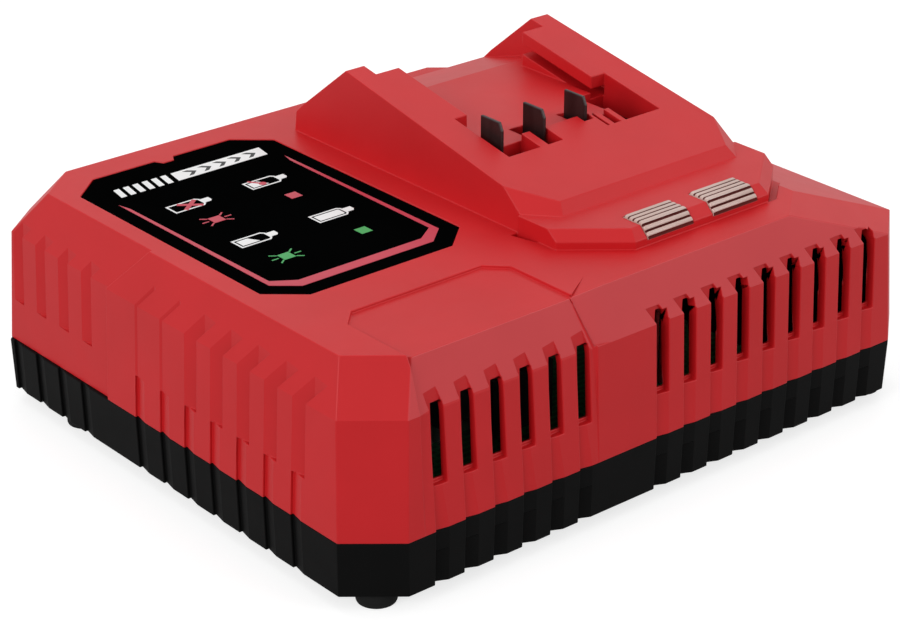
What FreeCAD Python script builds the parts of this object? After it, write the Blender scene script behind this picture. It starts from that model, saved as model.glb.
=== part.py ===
import FreeCAD, Part
import math
import os

os.makedirs("parts", exist_ok=True)

# Mains charger for slide-on battery packs: a red louvred shell on a black base tray,
# with a sloping battery dock, and the power electronics and cooling fan inside.
# Origin: centre of the footprint, on the surface that the rubber feet stand on.
# Axes: +X to the right, +Y to the rear, +Z up. The front is the long vented side.

Vector = FreeCAD.Vector

# Overall body
body_width = 190.0
body_depth = 162.0
foot_height = 4.0
base_height = 14.5
shoulder_height = 45.2
deck_height = 58.7
corner_cut_x = 12.6
corner_cut_y = 10.5
base_draft = 0.4
wall_lean = 1.5
wall = 2.5
floor_thickness = 2.5
deck_inset_left = 5.8
deck_inset_front = 5.5
deck_inset_rear = 14.0
deck_inset_right = 36.0
lip_height = 2.0
lip_thickness = 1.2
seat_clearance = 0.1
cutter_margin = 3.0

# Front panel: shallow recess that wraps from the deck down the front wall and runs out at the base
panel_left = 17.6
panel_right = 67.5
panel_rear = 32.6
panel_cut = 5.0
panel_depth = 0.8

# Louvred vents
louvre_depth = 1.9
louvre_top_depth = 0.5
louvre_width = 4.3
louvre_floor_gap = 0.3
louvre_bottom = 26.0
slit_width = 2.9
slit_bottom = 27.0
crease_depth = 0.8
crease_width = 4.5
base_notch_top = 9.0
front_left_vents = 6
front_left_first = 20.9
front_left_pitch = 9.05
front_left_top = 50.8
front_left_lean = 1.6
front_left_slit_top = 46.2
front_right_vents = 9
front_right_inset = 98.2
front_right_pitch = 9.33
front_right_top = 49.4
front_right_lean = 2.7
front_right_slit_top = 48.0
side_pitch = 10.75
side_slot_depth = 1.8
side_slot_slant = 3.4
side_front_vents = 5
side_front_first = 23.1
side_front_width = 5.0
side_crease_count = 2
side_crease_first = 80.4
side_crease_width = 1.1
side_rear_vents = 4
side_rear_first = 113.1
side_rear_width = 4.4
outlet_vents = 6
outlet_first = 50.0
outlet_top = 42.0
outlet_slit_width = 1.5

# Rear part of the left wall, set back behind a slanting step
setback_start = 105.0
setback_deck_start = 91.0
setback_depth = 0.8

# Step at the right edge of the front panel, with a facet that runs out on the deck
front_step_x = 72.2
step_facet_depth = 0.7
step_facet_overlap = 0.5
step_facet_shoulder = 6.7
step_facet_deck = 8.9
step_apex_x = 12.3
step_apex_y = 8.4

# Trench that follows the ledge and the dock on the right
trench_width = 3.0
trench_depth = 1.6

# Status label in its recess
label_left = 11.9
label_gap = 8.4
label_front = 46.0
label_rear = 138.9
label_cut_x = 9.0
label_cut_y = 7.8
label_thickness = 0.6
label_recess = 0.8
label_notch_x = 40.1
label_notch_width = 6.0
label_notch_depth = 2.4
label_notch_slant = 1.4

# Battery dock
dock_inset_right = 31.2
dock_width = 76.8
dock_draft = 0.1
dock_front = 33.5
dock_rear = 133.0
dock_corner_x = 7.0
dock_corner_y = 8.0
dock_plane_start = 41.0
dock_rise = 8.6
dock_slope = 0.187
dock_top_rear = 113.0
dock_back_slope = 0.82
dock_bevel_lean = 0.87
ledge_front = 15.0
ledge_rise = 4.7
ledge_corner_x = 15.0
ledge_corner_y = 12.4
ledge_bevel = 2.6
ledge_notch_width = 2.2
ledge_notch_length = 8.0
rail_inset = 8.8
rail_shelf_left = 7.7
rail_shelf_right = 7.5
rail_front = 80.0
rail_rear = 108.0
rail_lip = 3.6
rail_groove = 2.8
pocket_shelf_left = 3.4
pocket_shelf_right = 2.7
recess_front = 66.0
recess_rise = 11.3
recess_flat_end = 112.0
recess_rear_rise = 5.3
dock_cavity_rise = 5.3
dock_cavity_margin = 4.0

# Contact blades and their block
blade_count = 3
blade_inset = 2.8
blade_pitch = 14.5
blade_thickness = 0.9
blade_front = 64.3
blade_rear = 72.5
blade_reach = 7.2
blade_chamfer = 2.2
blade_tail = 6.0
slot_front = 58.6
slot_rear = 74.0
slot_side_room = 1.2
long_slot_room_left = 3.4
long_slot_room_right = 0.7
wide_slot_width = 10.6
key_pocket_width = 10.3
ribbed_slot_width = 8.5
ribbed_slot_ribs = 2
ribbed_slot_rib = 1.8
ribbed_slot_first = 1.2
ribbed_slot_pitch = 4.1
rib_drop = 0.4
block_height = 8.0
block_margin = 7.0
block_depth = 16.0
lead_radius = 1.0

# Light pipes in the ledge
lens_width = 16.0
lens_gap = 6.8
lens_depth = 9.0
lens_proud = 0.5
lens_rib_count = 6
lens_rib_depth = 0.5
lens_flange = 1.2
lens_flange_height = 1.5
lens_sill = 1.6
led_board_drop = 12.7
led_board_thickness = 1.6
led_board_margin = 5.0
led_board_edge = 2.0
led_lead_radius = 0.7
led_lead_count = 3
led_lead_pitch = 2.2
led_lead_setback = 7.0
led_size = 5.0
led_height = 3.0
led_round = 0.6

# Rubber feet
foot_radius = 5.0
foot_recess = 1.0
front_foot_x = 10.8
front_foot_y = 9.8
rear_foot_x = 8.0
rear_foot_y = 129.0

# Housing screws and their bosses
boss_inset_x = 24.0
boss_inset_y = 25.0
boss_radius = 4.0
screw_radius = 1.5
screw_head_radius = 2.9
screw_head_height = 2.2
screw_head_seat = 4.0
screw_engagement = 14.0
screw_clearance = 0.2
thread_clearance = 0.02

# Main circuit board
board_left = 33.0
board_inset_right = 38.0
board_front = 24.0
board_rear = 126.0
board_thickness = 1.6
board_post_height = 6.0
board_post_radius = 3.2
board_post_inset = 5.0
board_screw_radius = 1.2
board_screw_head_radius = 2.2
board_screw_head_height = 1.4
board_screw_depth = 5.0

# Cord outlet in the rear wall
gland_x = 44.0
gland_z = 24.0
gland_radius = 6.0
gland_bore = 3.5
gland_length = 9.0
gland_flange_radius = 7.2
gland_flange = 2.0
clamp_gap = 4.0
clamp_width = 22.0
clamp_depth = 7.0
clamp_height = 7.0
clamp_screw_offset = 8.0

# Cooling fan
fan_size = 40.0
fan_thickness = 10.0
fan_y = 78.0
fan_wall_gap = 2.6
fan_opening = 18.6
fan_spoke = 1.6
fan_spoke_width = 2.4
fan_hole_inset = 3.5
fan_hole_radius = 1.6
fan_bearing_start = 4.0
fan_shaft_seat = 0.6
fan_shaft_end = 1.0
fan_cup_wall = 1.2
fan_hub_radius = 8.0
fan_tip_clearance = 0.6
fan_blades = 7
fan_blade_thickness = 1.0
fan_blade_pitch = 35.0
fan_shaft_radius = 1.0
fan_bearing_radius = 3.0
fan_shaft_clearance = 0.05
fan_axial_clearance = 0.4
cradle_thickness = 1.8
cradle_height = 12.0
cradle_depth = 3.0

# Electronics on the board: places are a piece's centre or its left front corner
capacitor_x = 50.0
capacitor_y = 62.0
output_capacitor_inset = 10.0
output_capacitor_y = 72.0
output_capacitor_gap = 1.5
toroid_x = 64.0
toroid_y = 106.0
fuse_x = 40.0
fuse_y = 92.0
fuse_cap_length = 5.0
fuse_cap_step = 0.3
fuse_lift = 1.0
switch_heatsink_x = 40.0
switch_heatsink_y = 40.0
rectifier_heatsink_inset = 44.0
rectifier_heatsink_y = 112.5
bridge_x = 66.0
bridge_y = 32.0
bridge_length = 20.0
bridge_width = 4.0
bridge_height = 16.0
chip_inset = 34.0
chip_y = 32.0
chip_length = 12.0
chip_width = 8.0
chip_height = 2.0
chip_lift = 0.3
chip_pin_count = 8
chip_pin_width = 0.6
chip_pin_reach = 1.2
mains_connector_y = 108.0
mains_connector_length = 14.0
mains_connector_depth = 9.0
mains_connector_height = 10.0
connector_height = 9.0
connector_depth = 8.0
connector_end = 4.0
package_leg = 0.8
package_leg_pitch = 2.5
winding_room = 1.0
winding_round = 2.0
core_length = 40.0
core_width = 14.0
core_height = 33.0
core_leg = 7.0
core_centre_leg = 12.0
core_yoke = 7.0
bobbin_wall = 1.2
winding_clearance = 0.2
transformer_x = 94.0
transformer_y = 94.0
capacitor_radius = 9.0
capacitor_height = 30.0
capacitor_round = 0.8
output_capacitor_radius = 5.0
output_capacitor_height = 20.0
output_capacitor_count = 3
toroid_outer = 9.0
toroid_inner = 4.0
toroid_width = 8.0
fuse_radius = 2.6
fuse_length = 20.0
heatsink_length = 34.0
heatsink_height = 26.0
heatsink_plate = 2.0
heatsink_fin_count = 7
heatsink_fin_depth = 7.0
heatsink_fin = 1.2
package_width = 10.0
package_height = 15.0
package_depth = 4.5
package_seat = 6.0

# Sizes that follow from the ones above
front_right_first = body_width - front_right_inset
dock_right = body_width - dock_inset_right
dock_left = dock_right - dock_width
label_right = dock_left - label_gap
dock_plane_height = deck_height + dock_rise
ledge_height = deck_height + ledge_rise
rail_outer_left = dock_left + rail_inset
rail_outer_right = dock_right - rail_inset
rail_inner_left = rail_outer_left + rail_shelf_left
rail_inner_right = rail_outer_right - rail_shelf_right
pocket_left = rail_outer_left + pocket_shelf_left
pocket_right = rail_outer_right - pocket_shelf_right
recess_floor = deck_height + recess_rise
recess_rear_floor = deck_height + recess_rear_rise
dock_cavity_top = deck_height + dock_cavity_rise
blade_first = pocket_left + blade_inset
blade_top = recess_floor + blade_reach
lens_rear = ledge_front + lens_depth
led_board_height = deck_height - led_board_drop
board_right = body_width - board_inset_right
output_capacitor_x = board_right - output_capacitor_inset
rectifier_heatsink_x = board_right - rectifier_heatsink_inset
chip_x = board_right - chip_inset


# Working frame: distances are given from the left wall, the front wall and the base's underside
def from_left(distance):
    return distance - body_width / 2


def from_front(distance):
    return distance - body_depth / 2


def above_base(height):
    return height + foot_height


def point(x, y, z):
    return Vector(from_left(x), from_front(y), above_base(z))


def block(x0, x1, y0, y1, z0, z1):
    return Part.makeBox(x1 - x0, y1 - y0, z1 - z0, point(x0, y0, z0))


def post(x, y, z0, z1, radius):
    return Part.makeCylinder(radius, z1 - z0, point(x, y, z0))


def along_y(x, y0, y1, z, radius):
    return Part.makeCylinder(radius, y1 - y0, point(x, y0, z), Vector(0, 1, 0))


def along_x(x0, x1, y, z, radius):
    return Part.makeCylinder(radius, x1 - x0, point(x0, y, z), Vector(1, 0, 0))


def closed_wire(corners):
    return Part.makePolygon(corners + [corners[0]])


def prism(corners, direction):
    return Part.Face(closed_wire(corners)).extrude(direction)


def side_profile(x0, x1, outline):
    corners = [point(x0, y, z) for y, z in outline]
    return prism(corners, Vector(x1 - x0, 0, 0))


def plan_prism(outline, z0, z1):
    corners = [point(x, y, z0) for x, y in outline]
    return prism(corners, Vector(0, 0, z1 - z0))


def cut_corners(x0, x1, y0, y1, cut_x, cut_y):
    return [
        (x0 + cut_x, y0),
        (x1 - cut_x, y0),
        (x1, y0 + cut_y),
        (x1, y1 - cut_y),
        (x1 - cut_x, y1),
        (x0 + cut_x, y1),
        (x0, y1 - cut_y),
        (x0, y0 + cut_y),
    ]


def section(x0, x1, y0, y1, z):
    outline = cut_corners(x0, x1, y0, y1, corner_cut_x, corner_cut_y)
    return [point(x, y, z) for x, y in outline]


# Flat faces over four corners: one where they lie in a plane, two where they don't
def flat_faces(a, b, c, d):
    normal = (b - a).cross(c - a)
    if normal.Length > 0 and abs((d - a).dot(normal)) / normal.Length < 1e-6:
        return [Part.Face(closed_wire([a, b, c, d]))]
    return [Part.Face(closed_wire([a, b, c])), Part.Face(closed_wire([a, c, d]))]


# Solid with flat sides between rings that have the same number of corners
def layered_solid(rings):
    faces = [Part.Face(closed_wire(rings[0])), Part.Face(closed_wire(rings[-1]))]
    for lower, upper in zip(rings[:-1], rings[1:]):
        for number in range(len(lower)):
            following = (number + 1) % len(lower)
            faces += flat_faces(lower[number], lower[following], upper[following], upper[number])
    shell = Part.makeShell(faces)
    shell.sewShape()
    solid = Part.makeSolid(shell)
    if solid.Volume < 0:
        solid.reverse()
    return solid


def fuse_all(solids):
    return solids[0].multiFuse(solids[1:]) if len(solids) > 1 else solids[0]


def upright_edges(solid):
    return [edge for edge in solid.Edges
            if abs(edge.Vertexes[0].Z - edge.Vertexes[1].Z) > 1.0]


def save(node, shape):
    shape.exportStep("parts/" + node + ".step")
    box = shape.BoundBox
    print(node, len(shape.Solids), "solids", round(shape.Volume), "mm3", shape.isValid(),
          [round(v, 1) for v in (box.XMin, box.XMax, box.YMin, box.YMax, box.ZMin, box.ZMax)])


def save_group(node, solids):
    save(node, Part.makeCompound(solids))


# Outer form of the red shell, moved inwards by an inset
bevel_rise = deck_height - shoulder_height


def bevel_shift(inset, run):
    return inset * (math.hypot(bevel_rise, run) - run) / bevel_rise


def shoulder_drop(inset):
    run = deck_inset_right - wall_lean
    return inset * (math.hypot(bevel_rise, run) - bevel_rise) / run


def shell_form(inset, bottom, bottom_inset=None):
    low_inset = inset if bottom_inset is None else bottom_inset
    lean = low_inset + wall_lean * (bottom - base_height) / (shoulder_height - base_height)
    low = section(lean, body_width - lean, lean, body_depth - lean, bottom)
    lean = inset + wall_lean
    middle_height = shoulder_height - shoulder_drop(inset)
    middle = section(lean, body_width - lean, lean, body_depth - lean, middle_height)
    left = deck_inset_left + bevel_shift(inset, deck_inset_left - wall_lean)
    right = body_width - deck_inset_right - bevel_shift(inset, deck_inset_right - wall_lean)
    front = deck_inset_front + bevel_shift(inset, deck_inset_front - wall_lean)
    rear = body_depth - deck_inset_rear - bevel_shift(inset, deck_inset_rear - wall_lean)
    high = section(left, right, front, rear, deck_height - inset)
    return layered_solid([low, middle, high])


# Wall line of the shell or base at a height, as a distance from the outermost line
def wall_line(height, deck_inset):
    if height <= base_height:
        return base_draft * (base_height - height) / base_height
    if height <= shoulder_height:
        return wall_lean * (height - base_height) / (shoulder_height - base_height)
    return wall_lean + (deck_inset - wall_lean) * (height - shoulder_height) / bevel_rise


# One louvre: it is deep from its near edge on, over a flat floor if it has one, and then runs out to
# the surface at its far edge; a lean shifts its upper end towards the near side
def louvre(bottom, top, depths, flat, width, deck_inset, place, lean=0.0):
    heights = [bottom]
    heights += [knee for knee in (base_height, shoulder_height) if bottom < knee < top]
    heights += [top]
    steps = [(0.0, depths)] + ([(flat, depths)] if flat > 0 else []) + [(width, (-0.1, -0.1))]
    rings = []
    for along, (low_depth, high_depth) in steps:
        ring = []
        for height in heights:
            share = (height - bottom) / (top - bottom)
            sink = low_depth + (high_depth - low_depth) * share
            ring.append((along - lean * share, wall_line(height, deck_inset) + sink, height))
        ring += [(along - lean, -cutter_margin, top), (along, -cutter_margin, bottom)]
        rings.append([place(*corner) for corner in ring])
    return layered_solid(rings)


def on_front(first):
    return lambda along, inwards, height: point(first + along, inwards, height)


def on_left(rear_edge):
    return lambda along, inwards, height: point(inwards, rear_edge - along, height)


def on_right(first):
    return lambda along, inwards, height: point(body_width - inwards, first + along, height)


def lower_crease(deck_inset, place):
    return louvre(0.0, louvre_bottom, (crease_depth, crease_depth), 0.0, crease_width, deck_inset, place)


# Front vents: a channel with a flat floor, leaning on the bevel, and an open slit at its far side
def open_vents(count, first, pitch, top, lean, slit_top):
    cuts = []
    floor = louvre_width - louvre_floor_gap
    for number in range(count):
        place = on_front(first + number * pitch)
        cuts.append(louvre(louvre_bottom, shoulder_height, (louvre_depth, louvre_depth), floor,
                           louvre_width, deck_inset_front, place))
        cuts.append(louvre(shoulder_height, top, (louvre_depth, louvre_top_depth), floor,
                           louvre_width, deck_inset_front, place, lean))
        cuts.append(lower_crease(deck_inset_front, place))
        corners = [place(floor - slit_width, -1.0, slit_bottom), place(floor, -1.0, slit_bottom),
                   place(floor, -1.0, slit_top), place(floor - slit_width, -1.0, slit_top)]
        inwards = place(0.0, wall + wall_lean + cutter_margin, 0.0) - place(0.0, 0.0, 0.0)
        cuts.append(prism(corners, inwards))
    return cuts


# Blind slots of the left wall: they slant inwards to the front, and so run out on the bevel at a slant.
# The surface that they start from may be set back.
def side_slots(count, first, width, setback=0.0):
    outside = setback - 1.0
    cuts = []
    for number in range(count):
        front_edge = first + number * side_pitch
        rings = []
        for height in (louvre_bottom, deck_height):
            line = wall_lean * (height - base_height) / (shoulder_height - base_height)
            rings.append([point(line + sink, edge - side_slot_slant * (sink - setback), height)
                          for edge, sink in ((front_edge, outside), (front_edge, side_slot_depth),
                                             (front_edge + width, side_slot_depth),
                                             (front_edge + width, outside))])
        cuts.append(layered_solid(rings))
        cuts.append(lower_crease(deck_inset_left, on_left(front_edge + width)))
    return cuts


def all_vents():
    cuts = open_vents(front_left_vents, front_left_first, front_left_pitch, front_left_top,
                      front_left_lean, front_left_slit_top)
    cuts += open_vents(front_right_vents, front_right_first, front_right_pitch, front_right_top,
                       front_right_lean, front_right_slit_top)
    cuts += side_slots(side_front_vents, side_front_first, side_front_width)
    cuts += side_slots(side_crease_count, side_crease_first, side_crease_width)
    cuts += side_slots(side_rear_vents, side_rear_first, side_rear_width, setback_depth)
    cuts += [louvre(louvre_bottom, outlet_top, (louvre_depth, louvre_depth), 0.0, louvre_width, wall_lean,
                    on_right(outlet_first + n * side_pitch)) for n in range(outlet_vents)]
    return cuts


def outlet_slits():
    reach = wall + wall_lean + 1.0
    cuts = []
    for number in range(outlet_vents):
        y = outlet_first + number * side_pitch
        cuts.append(block(body_width - reach, body_width + 1.0, y, y + outlet_slit_width,
                          slit_bottom, outlet_top))
    return cuts


# What is taken off the left wall and its bevel behind the slanting step
def left_setback():
    past = body_depth + cutter_margin
    behind_step = side_profile(-cutter_margin, deck_inset_left + setback_depth, [
        (setback_start, base_height),
        (past, base_height),
        (past, deck_height + 1.0),
        (setback_deck_start, deck_height + 1.0),
        (setback_deck_start, deck_height),
        (setback_start, shoulder_height),
    ])
    outline = [(-cutter_margin, deck_height + 1.0), (-cutter_margin, base_height)]
    outline += [(wall_line(height, deck_inset_left) + setback_depth, height)
                for height in (base_height, shoulder_height, deck_height)]
    outline.append((deck_inset_left + setback_depth, deck_height + 1.0))
    skin = prism([point(x, 0.0, z) for x, z in outline], Vector(0, past, 0))
    return behind_step.common(skin)


# Battery dock, as a solid on the deck
def dock_plane(y):
    return dock_plane_height + dock_slope * (y - dock_plane_start)


# Plan outline between the dock's sides with cut front corners: the inset moves its front and its
# corner facets inwards, the lean its sides
def nose_outline(front, rear, corner_x, corner_y, inset, lean):
    facet = math.hypot(corner_x, corner_y)
    side_y = front + corner_y + inset * facet / corner_x
    front_x = corner_x + lean + inset * (facet - corner_x) / corner_y
    return [
        (dock_left + front_x, front + inset),
        (dock_right - front_x, front + inset),
        (dock_right - lean, side_y),
        (dock_right - lean, rear),
        (dock_left + lean, rear),
        (dock_left + lean, side_y),
    ]


def dock_body():
    root = deck_height - wall
    tall = dock_plane(dock_top_rear) + 5.0

    def ring(z):
        inset = max(0.0, dock_bevel_lean * (z - ledge_height))
        lean = dock_draft * (z - root)
        outline = nose_outline(dock_front, dock_rear, dock_corner_x, dock_corner_y, inset, lean)
        return [point(x, y, z) for x, y in outline]

    tower = layered_solid([ring(root), ring(ledge_height), ring(tall)])
    back_drop = dock_plane(dock_top_rear) - dock_back_slope * (dock_rear - 3.0 - dock_top_rear)
    outline = [
        (dock_front - 1.0, root),
        (dock_rear, root),
        (dock_rear, recess_rear_floor),
        (dock_rear - 3.0, back_drop),
        (dock_top_rear, dock_plane(dock_top_rear)),
        (dock_front - 1.0, dock_plane(dock_front - 1.0)),
    ]
    return tower.common(side_profile(dock_left - 1.0, dock_right + 1.0, outline))


def ledge_body():
    rear = dock_front + dock_corner_y

    def ring(z, inset):
        outline = nose_outline(ledge_front, rear, ledge_corner_x, ledge_corner_y, inset, 0.0)
        return [point(x, y, z) for x, y in outline]

    return layered_solid([ring(deck_height - wall, 0.0), ring(ledge_height - ledge_bevel, 0.0),
                          ring(ledge_height, ledge_bevel)])


# Small triangular notch in the deck at the left foot of the ledge
def ledge_notch():
    rear = dock_front + dock_corner_y
    outline = [(dock_left, rear), (dock_left - ledge_notch_width, rear), (dock_left, rear - ledge_notch_length)]
    return plan_prism(outline, deck_height - trench_depth, deck_height + 1.0)


def dock_trench():
    def outline(room):
        corner_x = dock_right - ledge_corner_x
        return [
            (corner_x + room, ledge_front),
            (dock_right + room, ledge_front + ledge_corner_y),
            (dock_right + room, dock_rear),
        ]
    ring = outline(trench_width) + outline(0.0)[::-1]
    return plan_prism(ring, deck_height - trench_depth, deck_height + 1.0)


def sloped_slab(x0, x1, y0, y1, depth_top, depth_bottom):
    return side_profile(x0, x1, [
        (y0, dock_plane(y0) - depth_bottom),
        (y1, dock_plane(y1) - depth_bottom),
        (y1, dock_plane(y1) - depth_top),
        (y0, dock_plane(y0) - depth_top),
    ])


def recess_cuts():
    top = dock_plane(dock_rear) + 10.0
    past = dock_rear + 2.0

    def well(x0, x1, y0):
        return side_profile(x0, x1, [
            (y0, recess_floor),
            (max(y0, recess_flat_end), recess_floor),
            (dock_rear, recess_rear_floor),
            (past, recess_rear_floor),
            (past, top),
            (y0, top),
        ])

    cuts = [well(rail_inner_left, rail_inner_right, recess_front)]
    cuts.append(well(rail_outer_left, rail_outer_right, rail_rear))
    for outer, inner in ((pocket_left, rail_inner_left), (rail_inner_right, pocket_right)):
        cuts.append(block(outer, inner, recess_front, rail_front, recess_floor, top))
    for outer, inner in ((rail_outer_left, rail_inner_left), (rail_inner_right, rail_outer_right)):
        cuts.append(sloped_slab(outer, inner, rail_front, rail_rear + 1.0, rail_lip, rail_lip + rail_groove))
    return cuts


def blade_x(number):
    return blade_first + number * blade_pitch


def slot_cuts():
    top = dock_plane(recess_front) + 1.0
    floor = dock_cavity_top - 1.0
    half = blade_thickness / 2
    cuts = []
    for number in range(blade_count):
        x = blade_x(number)
        long_slot = number == 1
        left = x - half - (long_slot_room_left if long_slot else slot_side_room)
        right = x + half + (long_slot_room_right if long_slot else slot_side_room)
        front = slot_front if number < blade_count - 1 else blade_front - slot_side_room
        cuts.append(block(left, right, front, slot_rear, floor, top))
    cuts.append(block(pocket_left, pocket_left + wide_slot_width, slot_front, recess_front, floor, top))
    key_left = pocket_right - key_pocket_width
    cuts.append(block(key_left, pocket_right, slot_front, rail_front, floor, top))
    slot_left = key_left - ribbed_slot_width
    ribbed = block(slot_left, key_left, slot_front, recess_front, floor, top)
    for number in range(ribbed_slot_ribs):
        x = slot_left + ribbed_slot_first + number * ribbed_slot_pitch
        rib = sloped_slab(x, x + ribbed_slot_rib, slot_front, recess_front, rib_drop, dock_rise)
        ribbed = ribbed.cut(rib)
    cuts.append(ribbed)
    return cuts


def dock_cavity():
    margin = dock_cavity_margin
    front = dock_front + dock_corner_y + wall
    return block(dock_left + margin, dock_right - margin, front, recess_flat_end + margin,
                 deck_height - wall - 1.0, dock_cavity_top)


# Light pipe openings
def lens_left_edge(number):
    middle = (dock_left + dock_right) / 2
    return middle - lens_gap / 2 - lens_width if number == 0 else middle + lens_gap / 2


def lens_outline(clearance, proud):
    y0 = ledge_front
    chamfer = ledge_bevel
    low = deck_height + lens_sill
    return [
        (y0 + chamfer + clearance, deck_height - wall),
        (lens_rear - clearance, deck_height - wall),
        (lens_rear - clearance, ledge_height + proud),
        (y0 + chamfer, ledge_height + proud),
        (y0 - proud, ledge_height - chamfer),
        (y0 - proud, low + clearance),
        (y0 + chamfer + clearance, low + clearance),
    ]


def lens_openings():
    cuts = []
    for number in (0, 1):
        x0 = lens_left_edge(number)
        cuts.append(side_profile(x0, x0 + lens_width, [
            (ledge_front + ledge_bevel, deck_height - wall - 1.0),
            (lens_rear, deck_height - wall - 1.0),
            (lens_rear, ledge_height + 2.0),
            (ledge_front - 2.0, ledge_height + 2.0),
            (ledge_front - 2.0, deck_height + lens_sill),
            (ledge_front + ledge_bevel, deck_height + lens_sill),
        ]))
    return cuts


def led_lens(number):
    x0 = lens_left_edge(number) + seat_clearance
    x1 = lens_left_edge(number) + lens_width - seat_clearance
    body = side_profile(x0, x1, lens_outline(seat_clearance, lens_proud))
    flange = block(x0 - lens_flange, x1 + lens_flange, ledge_front + ledge_bevel, lens_rear + lens_flange,
                   deck_height - wall - lens_flange_height, deck_height - wall)
    body = body.fuse(flange)
    run = lens_rear - ledge_front - ledge_bevel
    spacing = run / (lens_rib_count - 1)
    grooves = []
    for line in range(lens_rib_count - 1):
        y = ledge_front + ledge_bevel + spacing * (line + 0.5)
        z = ledge_height + lens_proud
        grooves.append(side_profile(x0 - 1.0, x1 + 1.0, [
            (y - spacing * 0.25, z + 0.01),
            (y, z - lens_rib_depth),
            (y + spacing * 0.25, z + 0.01),
        ]))
    return body.cut(grooves).removeSplitter()


def panel_cut_region():
    outline = [
        (panel_left, -2.0),
        (front_step_x, -2.0),
        (front_step_x, wall_lean),
        (panel_right, deck_inset_front),
        (panel_right, panel_rear - panel_cut),
        (panel_right - panel_cut, panel_rear),
        (panel_left + panel_cut, panel_rear),
        (panel_left, panel_rear - panel_cut),
    ]
    region = plan_prism(outline, base_height, deck_height + 1.0)
    return region.cut(shell_form(panel_depth, base_height, 0.0))


# Facet between the front panel's right edge and the bevel beyond it, down to the shoulder
def step_facet():
    depth = step_facet_depth
    panel_corner = point(panel_right - step_facet_overlap, deck_inset_front + depth, deck_height - depth)
    apex = point(panel_right + step_apex_x, deck_inset_front + step_apex_y, deck_height)
    deck_far = point(panel_right + step_facet_deck, deck_inset_front, deck_height)
    shoulder_near = point(front_step_x - step_facet_overlap, wall_lean + depth, shoulder_height)
    shoulder_far = point(front_step_x + step_facet_shoulder, wall_lean, shoulder_height)
    away = Vector(-1.0, -cutter_margin, cutter_margin)
    return [prism(corners, away) for corners in (
        [apex, panel_corner, deck_far],
        [panel_corner, shoulder_near, shoulder_far],
        [panel_corner, shoulder_far, deck_far],
    )]


def label_plan(room):
    outline = cut_corners(label_left + room, label_right - room, label_front + room, label_rear - room,
                          label_cut_x, label_cut_y)
    rear = label_rear - room
    left = label_notch_x - room
    right = label_notch_x + label_notch_width + room
    notch = [
        (right, rear),
        (right - label_notch_slant, rear - label_notch_depth),
        (left + label_notch_slant, rear - label_notch_depth),
        (left, rear),
    ]
    return outline[:5] + notch + outline[5:]


def boss_places():
    return [(x, y) for x in (boss_inset_x, body_width - boss_inset_x)
            for y in (boss_inset_y, body_depth - boss_inset_y)]


def upper_housing():
    outer = shell_form(0.0, base_height)
    inner = shell_form(wall, base_height - 1.0)
    form = outer.cut([dock_trench(), ledge_notch(), left_setback()]).fuse(dock_body()).fuse(ledge_body())
    cuts = [inner, dock_cavity(), panel_cut_region()] + step_facet()
    cuts.append(plan_prism(label_plan(0.0), deck_height - label_recess, deck_height + 1.0))
    cuts += recess_cuts() + slot_cuts() + lens_openings()
    gland_rear = body_depth + 1.0
    gland_front = body_depth - wall - wall_lean - 4.0
    cuts.append(along_y(gland_x, gland_front, gland_rear, gland_z, gland_radius + seat_clearance / 2))
    shell = form.cut(cuts).cut(all_vents() + outlet_slits())
    boss_limit = shell_form(wall / 2, base_height)
    bosses = []
    for x, y in boss_places():
        boss = post(x, y, base_height, deck_height, boss_radius).common(boss_limit)
        pilot = post(x, y, base_height, base_height + screw_engagement, screw_radius + thread_clearance)
        bosses.append(boss.cut(pilot))
    for x in led_board_posts():
        bosses.append(post(x, led_board_y(), led_board_height + led_board_thickness, deck_height - wall / 2,
                           board_post_radius))
    shell = shell.multiFuse(bosses)
    return shell.removeSplitter()


def led_board_y():
    return (ledge_front + ledge_bevel + lens_rear) / 2


def led_board_posts():
    first = lens_left_edge(0) - lens_flange - led_board_margin
    last = lens_left_edge(1) + lens_width + lens_flange + led_board_margin
    return (first, last)


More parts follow.
